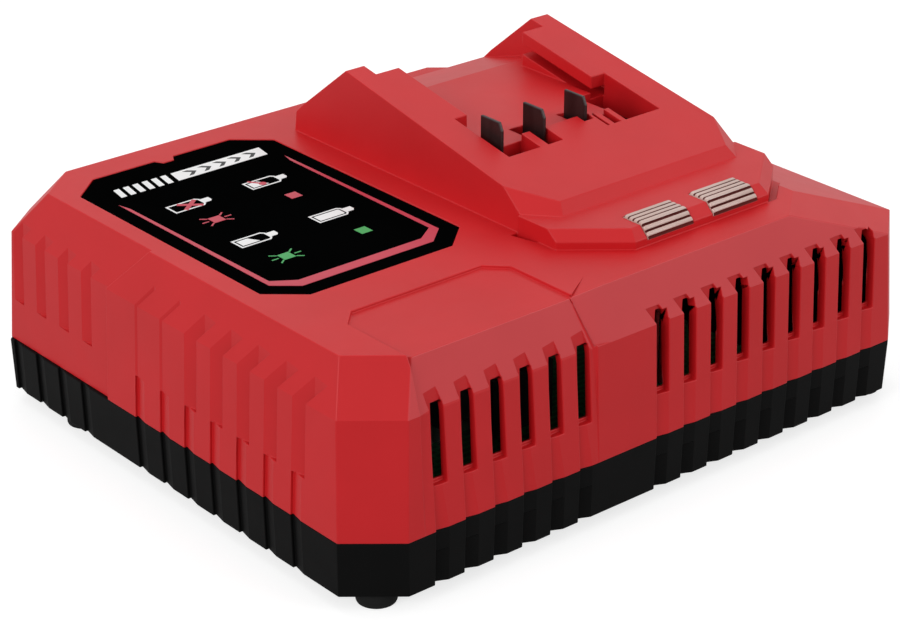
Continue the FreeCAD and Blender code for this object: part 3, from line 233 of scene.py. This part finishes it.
# Finish of each node that keeps its CAD mesh
FINISHES = {
    "housing_screws": steel, "board_screws": steel, "cord_clamp_screws": steel,
    "led_board": lacquer, "main_circuit_board": lacquer,
    "led_leads": wire, "contact_leads": wire,
    "led_red": led_red, "led_green": led_green,
    "contact_block": moulding, "transformer_bobbin": moulding, "cord_clamp": moulding,
    "board_connector": nylon, "mains_connector": nylon,
    "transformer_core": ferrite, "transformer_winding": tape, "choke_coil": copper,
    "mains_capacitor": sleeve, "output_capacitors": sleeve, "mains_fuse": glass_tube,
    "switch_heatsink": alloy, "rectifier_heatsink": alloy,
    "power_transistor": package, "output_diode": package,
    "bridge_rectifier": package, "control_chip": package,
    "cord_gland": gland_rubber, "fan_frame": fan_plastic, "fan_rotor": fan_plastic,
}


def dress(item, material):
    item.data.materials.clear()
    item.data.materials.append(material)
    for polygon in item.data.polygons:
        polygon.material_index = 0


for node, material in FINISHES.items():
    dress(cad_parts[node], material)


# Pieces

def add_piece(name, mesh, material):
    mesh.validate()
    item = bpy.data.objects.new(name, mesh)
    bpy.context.scene.collection.objects.link(item)
    dress(item, material)
    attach(item, CHARGER)
    return item


def shade(mesh, sharp_degrees):
    for polygon in mesh.polygons:
        polygon.use_smooth = True
    mesh.set_sharp_from_angle(angle=math.radians(sharp_degrees))


WELD_DISTANCE = 2e-6
FLAT_ANGLE = 0.6
CORNER_ANGLE = 28.0


def fold_angle(edge):
    return math.degrees(edge.calc_face_angle(0.0)) if len(edge.link_faces) == 2 else 0.0


# The node's CAD mesh with its flats in one face each and a round of this width on its corners
def rounded_form(node, width):
    form = bmesh.new()
    form.from_mesh(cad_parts[node].data)
    bmesh.ops.remove_doubles(form, verts=form.verts, dist=WELD_DISTANCE)
    bmesh.ops.dissolve_limit(form, angle_limit=math.radians(FLAT_ANGLE), verts=form.verts, edges=form.edges)
    corners = [edge for edge in form.edges if fold_angle(edge) > CORNER_ANGLE]
    made = bmesh.ops.bevel(form, geom=corners, offset=width, offset_type="OFFSET", segments=2, profile=0.5,
                           affect="EDGES", clamp_overlap=False)
    return form, set(made["faces"])


def paint(mesh, material, chosen):
    mesh.materials.append(material)
    for polygon, belongs in zip(mesh.polygons, chosen):
        if belongs:
            polygon.material_index = len(mesh.materials) - 1


# A CAD node again, with its edges broken by a small round as a mould leaves them. The flats stay flat:
# the folds between them are sharp, and the rounds take their normals from them.
def softened(node, name, width, material, fold=9.0, round_material=None, patches=()):
    form, rounds = rounded_form(node, width)
    tag = form.faces.layers.int.new("round")
    for face in form.faces:
        face.smooth = True
        face[tag] = face in rounds
    for edge in form.edges:
        flat = not any(face[tag] for face in edge.link_faces)
        edge.smooth = not (flat and fold_angle(edge) > fold)
    bmesh.ops.triangulate(form, faces=form.faces)
    form.normal_update()
    mesh = bpy.data.meshes.new(name)
    form.to_mesh(mesh)
    is_round = [face[tag] == 1 for face in form.faces]
    form.free()
    item = add_piece(name, mesh, material)
    if round_material is not None:
        paint(mesh, round_material, is_round)
    for patch_material, belongs in patches:
        paint(mesh, patch_material, [belongs(face.center, face.normal) for face in mesh.polygons])
    weighted = item.modifiers.new("flat_faces", "WEIGHTED_NORMAL")
    weighted.mode = "FACE_AREA"
    weighted.weight = 100
    weighted.keep_sharp = True
    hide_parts(node)


# Outer form of the shell
BASE_TOP = 14.5
SHOULDER = 45.2
DECK = 58.7
WALL_LEAN = 1.5
DECK_INSET_LEFT = 5.8
DECK_INSET_RIGHT = 36.0
DECK_INSET_FRONT = 5.5
DECK_INSET_REAR = 14.0
CORNER_X = 12.6
CORNER_Y = 10.5

# What lies deeper than the skin is inside and gets painted shade, apart from the side walls of the slits,
# which reach deeper
SKIN = 2.05
SLIT_REACH = 4.2
SLIT_NORMAL = 0.3

# How far behind the front wall the front bevel reaches, which gets the painted sheen
BEVEL_REACH = 8.0

# Cavity under the dock, whose faces get painted shade too
CAVITY_LEFT = 84.0
CAVITY_RIGHT = 157.0
CAVITY_FRONT = 43.0
CAVITY_REAR = 117.0
CAVITY_TOP = 64.1


# Distance behind the outer surface of the shell, on the side with this inset of the deck
def behind(distance, z, deck_inset):
    if z < SHOULDER:
        return distance - WALL_LEAN * (z - BASE_TOP) / (SHOULDER - BASE_TOP)
    return distance - WALL_LEAN - (deck_inset - WALL_LEAN) * (z - SHOULDER) / (DECK - SHOULDER)


def millimetres(centre):
    return (centre.x * 1000 + BODY_WIDTH / 2, centre.y * 1000 + BODY_DEPTH / 2,
            centre.z * 1000 - FOOT_HEIGHT)


def gets_painted_shade(centre, normal):
    x, y, z = millimetres(centre)
    if CAVITY_LEFT < x < CAVITY_RIGHT and CAVITY_FRONT < y < CAVITY_REAR and z < CAVITY_TOP:
        return True
    from_front = behind(y, z, DECK_INSET_FRONT)
    if from_front < SLIT_REACH and abs(normal.y) < SLIT_NORMAL:
        return False
    if BODY_WIDTH - x < SLIT_REACH and abs(normal.x) < SLIT_NORMAL:
        return False
    from_side = min(behind(x, z, DECK_INSET_LEFT), behind(BODY_WIDTH - x, z, DECK_INSET_RIGHT))
    from_end = min(from_front, behind(BODY_DEPTH - y, z, DECK_INSET_REAR))
    from_corner = (from_side / CORNER_X + from_end / CORNER_Y - 1) / math.hypot(1 / CORNER_X, 1 / CORNER_Y)
    return z < DECK - SKIN and min(from_side, from_end, from_corner) > SKIN


# The bevel over the front wall and in the front panel, but not the sides of the vents. It gets painted
# sheen: a lighter, pinker red that stands in for the light the bevel catches
def gets_painted_sheen(centre, normal):
    x, y, z = millimetres(centre)
    faces_forward = normal.y < -0.8 and 0.15 < normal.z < 0.6
    return faces_forward and SHOULDER < z < DECK and y < BEVEL_REACH


# Widths of the rounds, in metres
MOULD_ROUND = 0.00022
FOOT_ROUND = 0.0006
FILM_ROUND = 0.00008

# Painted sheen on the front bevel, and painted shade, a near-black red, on the inside faces
softened("upper_housing", "upper_housing_moulded", MOULD_ROUND, red,
         patches=((red_bevel_painted_sheen, gets_painted_sheen), (red_inside_painted_shade, gets_painted_shade)))
softened("lower_housing", "lower_housing_moulded", MOULD_ROUND, black)
softened("rubber_feet", "rubber_feet_moulded", FOOT_ROUND, rubber, fold=35.0)
softened("status_label", "status_label_film", FILM_ROUND, label_film)
# The blades' rounds get the painted highlight on their rims
for blade in ("contact_blade_negative", "contact_blade_data", "contact_blade_positive"):
    softened(blade, blade + "_stamped", MOULD_ROUND, blade_metal, round_material=blade_rim_painted_highlight)


# Label print: thin closed slabs on the film

FILM_TOP = 58.5
PRINT_SINK = 0.03
PRINT_RISE = 0.06


def slab_faces(verts, faces, outline, low, high):
    start = len(verts)
    count = len(outline)
    verts += [place(x, y, low) for x, y in outline] + [place(x, y, high) for x, y in outline]
    faces.append([start + i for i in reversed(range(count))])
    faces.append([start + count + i for i in range(count)])
    for i in range(count):
        j = (i + 1) % count
        faces.append([start + i, start + j, start + count + j, start + count + i])


def printed(name, outlines, material, rise=PRINT_RISE):
    verts = []
    faces = []
    for outline in outlines:
        area = sum(a[0] * b[1] - b[0] * a[1] for a, b in zip(outline, outline[1:] + outline[:1]))
        anticlockwise = outline if area > 0 else outline[::-1]
        slab_faces(verts, faces, anticlockwise, FILM_TOP - PRINT_SINK, FILM_TOP + rise)
    mesh = bpy.data.meshes.new(name)
    mesh.from_pydata(verts, [], faces)
    add_piece(name, mesh, material)


def rectangle(x0, x1, y0, y1):
    return [(x0, y0), (x1, y0), (x1, y1), (x0, y1)]


def turned(outline, cx, cy, degrees):
    c, s = math.cos(math.radians(degrees)), math.sin(math.radians(degrees))
    return [(cx + x * c - y * s, cy + x * s + y * c) for x, y in outline]


# Red frame of the label: two long sides, two cut corners and a front side
LABEL_MIDDLE = 42.75
FRAME_HALF = 26.3
FRAME_REAR = 120.2
FRAME_SIDE_END = 116.5
FRAME_FRONT = 51.2
FRAME_LINE = 0.9
FRAME_CORNER_X = 6.1
FRAME_CORNER_Y = 5.2
FRAME_INNER_X = 7.3
FRAME_INNER_Y = 54.5
FRAME_JOIN_X = 1.5
FRAME_JOIN_Y = 58.4


def frame_lines():
    left = LABEL_MIDDLE - FRAME_HALF
    right = LABEL_MIDDLE + FRAME_HALF
    corner_y = FRAME_FRONT + FRAME_CORNER_Y
    lines = []
    for outer, way in ((left, 1), (right, -1)):
        join = (outer + way * FRAME_JOIN_X, FRAME_JOIN_Y)
        lines.append([(outer, FRAME_REAR), (outer, corner_y), join,
                      (outer + way * FRAME_LINE, FRAME_SIDE_END)])
        lines.append([(outer, corner_y), (outer + way * FRAME_CORNER_X, FRAME_FRONT),
                      (outer + way * FRAME_INNER_X, FRAME_INNER_Y), join])
    lines.append([(left + FRAME_CORNER_X, FRAME_FRONT), (right - FRAME_CORNER_X, FRAME_FRONT),
                  (right - FRAME_INNER_X, FRAME_INNER_Y), (left + FRAME_INNER_X, FRAME_INNER_Y)])
    return lines


# Battery pictograms
BATTERY_LENGTH = 9.8
BATTERY_WIDTH = 5.0
BATTERY_CUT = 0.9
OUTLINE = 0.5
CUT_PER_INSET = 0.59
TERMINAL_MARGIN = 1.3
TERMINAL_REACH = 2.5
TERMINAL_TOP = 1.9
TERMINAL_CUT = 0.7
FILL_SLANT = 1.8


def battery_plan(x, y, inset):
    x0, x1 = x + inset, x + BATTERY_LENGTH - inset
    y0, y1 = y + inset, y + BATTERY_WIDTH - inset
    cut = BATTERY_CUT - CUT_PER_INSET * inset
    return [(x0, y0), (x1 - cut, y0), (x1, y0 + cut), (x1, y1 - cut), (x1 - cut, y1), (x0, y1)]


def battery_outline(x, y):
    outer = battery_plan(x, y, 0.0)
    inner = battery_plan(x, y, OUTLINE)
    sides = []
    for number in range(len(outer)):
        after = (number + 1) % len(outer)
        sides.append([outer[number], outer[after], inner[after], inner[number]])
    x1 = x + BATTERY_LENGTH
    low, high = y + TERMINAL_MARGIN, y + BATTERY_WIDTH - TERMINAL_MARGIN
    sides.append([(x1, low), (x1 + TERMINAL_TOP, low), (x1 + TERMINAL_REACH, low + TERMINAL_CUT),
                  (x1 + TERMINAL_REACH, high), (x1, high)])
    return sides


# Fill of a part-charged battery, with a slanting end
def battery_fill(x, y, share):
    margin = 2 * OUTLINE
    end = x + margin + (BATTERY_LENGTH - 2 * margin) * share
    return [(x + margin, y + margin), (end, y + margin), (end - FILL_SLANT, y + BATTERY_WIDTH - margin),
            (x + margin, y + BATTERY_WIDTH - margin)]


# Cross of two strokes as one outline
def cross(x, y, reach, half, degrees):
    c, s = math.cos(math.radians(degrees)), math.sin(math.radians(degrees))
    outline = []
    for (dx, dy), corner in (((c, s), (half / s, 0)), ((-c, s), (0, half / c)),
                             ((-c, -s), (-half / s, 0)), ((c, -s), (0, -half / c))):
        outline.append(corner)
        side = (dy, -dx)
        outline.append((reach * dx + half * side[0], reach * dy + half * side[1]))
        outline.append((reach * dx - half * side[0], reach * dy - half * side[1]))
    return [(x + px, y + py) for px, py in outline]


# Rays on both sides of a blinking lamp
RAY_START = 2.4
RAY_END = 4.4
RAY_HALF = 0.22
RAY_ANGLE = 38

# Thermometer on the hot battery
BULB_RADIUS = 1.1
BULB_CORNERS = 8
TUBE_START = 0.9
TUBE_END = 4.2
TUBE_HALF = 0.4
TUBE_ANGLE = 125

# Places of the pictograms, and of the band of stripes and arrows behind them
LEFT_COLUMN = 24.6
RIGHT_COLUMN = 48.6
REAR_ROW = 106.4
FRONT_ROW = 78.2
SQUARE = 3.4
RED_LAMP = (30.3, 96.9)
GREEN_LAMP = (30.1, 67.6)
STEADY_RED = (54.4, 96.9)
STEADY_GREEN = (54.1, 67.8)
BAND_FRONT = 123.9
BAND_REAR = 129.3
BAND_SLANT = 1.0
BAR_LEFT = 37.6
BAR_RIGHT = 66.2
STRIPES = 6
STRIPE_FIRST = 19.8
STRIPE_PITCH = 2.9
STRIPE_WIDTH = 1.7
ARROWS = 5
ARROW_FIRST = 41.6
ARROW_PITCH = 4.8
ARROW_WIDTH = 1.5
ARROW_REACH = 1.9
ARROW_HALF = 1.7


def square(place_on_label):
    x, y = place_on_label
    return rectangle(x - SQUARE / 2, x + SQUARE / 2, y - SQUARE / 2, y + SQUARE / 2)


def rays(place_on_label):
    x, y = place_on_label
    made = []
    for side in (0, 180):
        for angle in (-RAY_ANGLE, 0, RAY_ANGLE):
            made.append(turned(rectangle(RAY_START, RAY_END, -RAY_HALF, RAY_HALF), x, y, side + angle))
    return made


def band_stripe(x0, x1):
    return [(x0, BAND_FRONT), (x1, BAND_FRONT), (x1 + BAND_SLANT, BAND_REAR), (x0 + BAND_SLANT, BAND_REAR)]


def label_white():
    shapes = []
    for x, y in ((LEFT_COLUMN, REAR_ROW), (RIGHT_COLUMN, REAR_ROW), (LEFT_COLUMN, FRONT_ROW),
                 (RIGHT_COLUMN, FRONT_ROW)):
        shapes += battery_outline(x, y)
    shapes.append(battery_fill(RIGHT_COLUMN, REAR_ROW, share=0.62))
    shapes.append(battery_fill(LEFT_COLUMN, FRONT_ROW, share=0.66))
    shapes.append(battery_plan(RIGHT_COLUMN, FRONT_ROW, 2 * OUTLINE))
    shapes.append(band_stripe(BAR_LEFT, BAR_RIGHT))
    for number in range(STRIPES):
        x = STRIPE_FIRST + number * STRIPE_PITCH
        shapes.append(band_stripe(x, x + STRIPE_WIDTH))
    return shapes


def bar_arrows():
    shapes = []
    middle = (BAND_FRONT + BAND_REAR) / 2
    for number in range(ARROWS):
        tail = ARROW_FIRST + number * ARROW_PITCH
        tip = tail + ARROW_REACH
        for end in (middle - ARROW_HALF, middle + ARROW_HALF):
            shapes.append([(tail, end), (tail + ARROW_WIDTH, end),
                           (tip + ARROW_WIDTH, middle), (tip, middle)])
    return shapes


def thermometer(x, y):
    turns = [2 * math.pi * corner / BULB_CORNERS for corner in range(BULB_CORNERS)]
    bulb = [(x + BULB_RADIUS * math.cos(turn), y + BULB_RADIUS * math.sin(turn)) for turn in turns]
    return [bulb, turned(rectangle(TUBE_START, TUBE_END, -TUBE_HALF, TUBE_HALF), x, y, TUBE_ANGLE)]


def label_red():
    shapes = frame_lines() + [square(RED_LAMP), square(STEADY_RED)] + rays(RED_LAMP)
    shapes.append(cross(LEFT_COLUMN + 5.9, REAR_ROW + 2.4, reach=3.4, half=0.6, degrees=38))
    return shapes + thermometer(RIGHT_COLUMN + 4.4, REAR_ROW + 1.9)


def label_green():
    return [square(GREEN_LAMP), square(STEADY_GREEN)] + rays(GREEN_LAMP)


printed("label_print_white", label_white(), white_ink)
printed("label_print_red", label_red(), red_ink, PRINT_RISE + 0.02)
printed("label_print_green", label_green(), green_ink)
printed("label_print_black", bar_arrows(), black_ink, PRINT_RISE + 0.03)


# Light pipes: clear ribs along the ledge

LEDGE_FRONT = 15.0
LEDGE_TOP = 63.4
LEDGE_BEVEL = 2.6
LENS_REAR = 23.9
LENS_FLANGE = 1.3
LENS_BOTTOM = LEDGE_TOP - 5.4
LENS_TOE = LEDGE_TOP - LEDGE_BEVEL - 0.5
LENS_TOE_FRONT = LEDGE_FRONT - 0.2
LENS_FOOT_FRONT = LEDGE_FRONT + LEDGE_BEVEL - 0.3
RIB_COUNT = 6
RIB_POINTS = 9
RIB_RISE = 0.72
GROOVE_RISE = 0.05

# How far on each side of the bevel's upper edge the ribs turn from upright to square with the bevel
TURN_REACH = 0.8
DIAGONAL = math.sqrt(0.5)


# Side view of a light pipe: half-round ribs over the ledge's top and down its bevel, then the foot
def ribbed_profile(height):
    corner_y = LEDGE_FRONT + LEDGE_BEVEL
    flat = LENS_REAR - corner_y
    length = flat + math.hypot(LEDGE_BEVEL, LEDGE_BEVEL)
    points = []
    for rib in range(RIB_COUNT):
        for step in range(RIB_POINTS):
            share = step / (RIB_POINTS - 1)
            along = length * (rib + share) / RIB_COUNT
            rise = GROOVE_RISE + (height - GROOVE_RISE) * math.sqrt(max(0.0, 1 - (2 * share - 1) ** 2))
            down = max(0.0, along - flat) * DIAGONAL
            y = LENS_REAR - min(along, flat) - down
            z = LEDGE_TOP - down
            turn = min(1.0, max(0.0, (along - flat + TURN_REACH) / (2 * TURN_REACH)))
            points.append((y - DIAGONAL * turn * rise, z + (1.0 - (1.0 - DIAGONAL) * turn) * rise))
    points.append((LENS_TOE_FRONT, LENS_TOE))
    points.append((LENS_FOOT_FRONT, LENS_TOE))
    points.append((LENS_FOOT_FRONT, LENS_BOTTOM))
    points.append((LENS_REAR, LENS_BOTTOM))
    return points


# Places across a light pipe and the height of its ribs there, which falls off at both ends
def lens_stations(x0, x1):
    ends = ((0, 0.1), (0.1, 0.5), (0.3, 0.8), (0.7, 1))
    left = [(x0 + run, RIB_RISE * share) for run, share in ends]
    right = [(x1 - run, RIB_RISE * share) for run, share in reversed(ends)]
    return left + right


def ribbed_lens(node, name):
    low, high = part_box(node)
    stations = lens_stations(low.x * 1000 + BODY_WIDTH / 2 + LENS_FLANGE,
                             high.x * 1000 + BODY_WIDTH / 2 - LENS_FLANGE)
    verts = []
    faces = []
    count = len(ribbed_profile(RIB_RISE))
    for x, height in stations:
        verts += [place(x, y, z) for y, z in ribbed_profile(height)]
    for station in range(len(stations) - 1):
        for i in range(count):
            j = (i + 1) % count
            a, b = station * count, (station + 1) * count
            faces.append([a + i, a + j, b + j, b + i])
    faces.append(list(reversed(range(count))))
    faces.append([(len(stations) - 1) * count + i for i in range(count)])
    mesh = bpy.data.meshes.new(name)
    mesh.from_pydata(verts, [], faces)
    form = bmesh.new()
    form.from_mesh(mesh)
    bmesh.ops.recalc_face_normals(form, faces=form.faces)
    bmesh.ops.triangulate(form, faces=[face for face in form.faces if len(face.verts) > 4])
    form.to_mesh(mesh)
    form.free()
    shade(mesh, 60.0)
    item = add_piece(name, mesh, clear)
    # The faces in the grooves between the ribs get the painted shade
    mesh.materials.append(lens_groove_painted_shade)
    for station in range(len(stations) - 1):
        for i in range(RIB_COUNT * RIB_POINTS):
            if i % RIB_POINTS in (0, 1, RIB_POINTS - 2, RIB_POINTS - 1):
                mesh.polygons[station * count + i].material_index = 1
    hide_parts(node)


ribbed_lens("led_lens_left", "led_lens_left_ribbed")
ribbed_lens("led_lens_right", "led_lens_right_ribbed")


# Stage, light and camera

# 1 for rays from the camera or through clear pieces, the given level for reflections, 0 for the rest
def backdrop_rays(nodes, links, reflected):
    path = nodes.new("ShaderNodeLightPath")
    straight = nodes.new("ShaderNodeMath")
    straight.operation = "MAXIMUM"
    links.new(path.outputs["Is Camera Ray"], straight.inputs[0])
    links.new(path.outputs["Is Transmission Ray"], straight.inputs[1])
    mirrored = nodes.new("ShaderNodeMath")
    mirrored.operation = "MULTIPLY"
    mirrored.inputs[1].default_value = reflected
    links.new(path.outputs["Is Glossy Ray"], mirrored.inputs[0])
    either = nodes.new("ShaderNodeMath")
    either.operation = "MAXIMUM"
    links.new(straight.outputs[0], either.inputs[0])
    links.new(mirrored.outputs[0], either.inputs[1])
    return either.outputs[0]


def make_floor():
    reach = 4.0
    corners = [(-reach, -reach, 0), (reach, -reach, 0), (reach, reach, 0), (-reach, reach, 0)]
    mesh = bpy.data.meshes.new("floor")
    mesh.from_pydata(corners, [], [(0, 1, 2, 3)])
    floor = bpy.data.objects.new("floor", mesh)
    bpy.context.scene.collection.objects.link(floor)
    material = bpy.data.materials.new("floor")
    material.use_nodes = True
    nodes, links = material.node_tree.nodes, material.node_tree.links
    nodes.clear()
    output = nodes.new("ShaderNodeOutputMaterial")
    total = nodes.new("ShaderNodeAddShader")
    matt = nodes.new("ShaderNodeBsdfDiffuse")
    matt.inputs["Color"].default_value = (0.42, 0.42, 0.42, 1)
    glow = nodes.new("ShaderNodeEmission")
    strength = nodes.new("ShaderNodeMath")
    strength.operation = "MULTIPLY"
    strength.inputs[1].default_value = 0.72
    links.new(backdrop_rays(nodes, links, reflected=0.4), strength.inputs[0])
    links.new(strength.outputs[0], glow.inputs["Strength"])
    links.new(matt.outputs["BSDF"], total.inputs[0])
    links.new(glow.outputs["Emission"], total.inputs[1])
    links.new(total.outputs["Shader"], output.inputs["Surface"])
    mesh.materials.append(material)


def make_world():
    world = bpy.data.worlds.new("studio")
    bpy.context.scene.world = world
    world.use_nodes = True
    nodes, links = world.node_tree.nodes, world.node_tree.links
    nodes.clear()
    output = nodes.new("ShaderNodeOutputWorld")
    background = nodes.new("ShaderNodeBackground")
    background.inputs["Color"].default_value = (1, 1, 1, 1)
    level = nodes.new("ShaderNodeMapRange")
    level.inputs["To Min"].default_value = 0.56
    level.inputs["To Max"].default_value = 1.0
    links.new(backdrop_rays(nodes, links, reflected=0.7), level.inputs["Value"])
    links.new(level.outputs["Result"], background.inputs["Strength"])
    links.new(background.outputs["Background"], output.inputs["Surface"])


# Middle of the body, which the lights aim at
LIGHT_TARGET = Vector((0.0, 0.0, 0.04))


def area_light(name, location, size, power):
    data = bpy.data.lights.new(name, "AREA")
    data.shape = "SQUARE"
    data.size = size
    data.energy = power
    light = bpy.data.objects.new(name, data)
    light.location = location
    light.rotation_mode = "QUATERNION"
    light.rotation_quaternion = (LIGHT_TARGET - Vector(location)).to_track_quat("-Z", "Y")
    light.visible_camera = False
    bpy.context.scene.collection.objects.link(light)


def make_camera():
    data = bpy.data.cameras.new("camera")
    data.sensor_width = 36.0
    data.lens = 103.723
    data.dof.use_dof = False
    camera = bpy.data.objects.new("camera", data)
    target = place(77.183, 61.7, 30.0)
    azimuth, elevation = math.radians(-40.237), math.radians(25.432)
    distance = 0.666267
    back = Vector((math.sin(azimuth) * math.cos(elevation), -math.cos(azimuth) * math.cos(elevation),
                   math.sin(elevation)))
    camera.location = target + back * distance
    camera.rotation_mode = "QUATERNION"
    camera.rotation_quaternion = (-back).to_track_quat("-Z", "Y")
    bpy.context.scene.collection.objects.link(camera)
    bpy.context.scene.camera = camera


make_floor()
make_world()
area_light("overhead", (0.2, 0.5, 1.9), size=1.6, power=9.0)
area_light("front_right", (1.0, -1.6, 0.9), size=1.2, power=10.0)
area_light("left", (-1.8, -0.3, 0.8), size=0.9, power=15.0)
make_camera()
bpy.context.scene.view_settings.view_transform = "Standard"
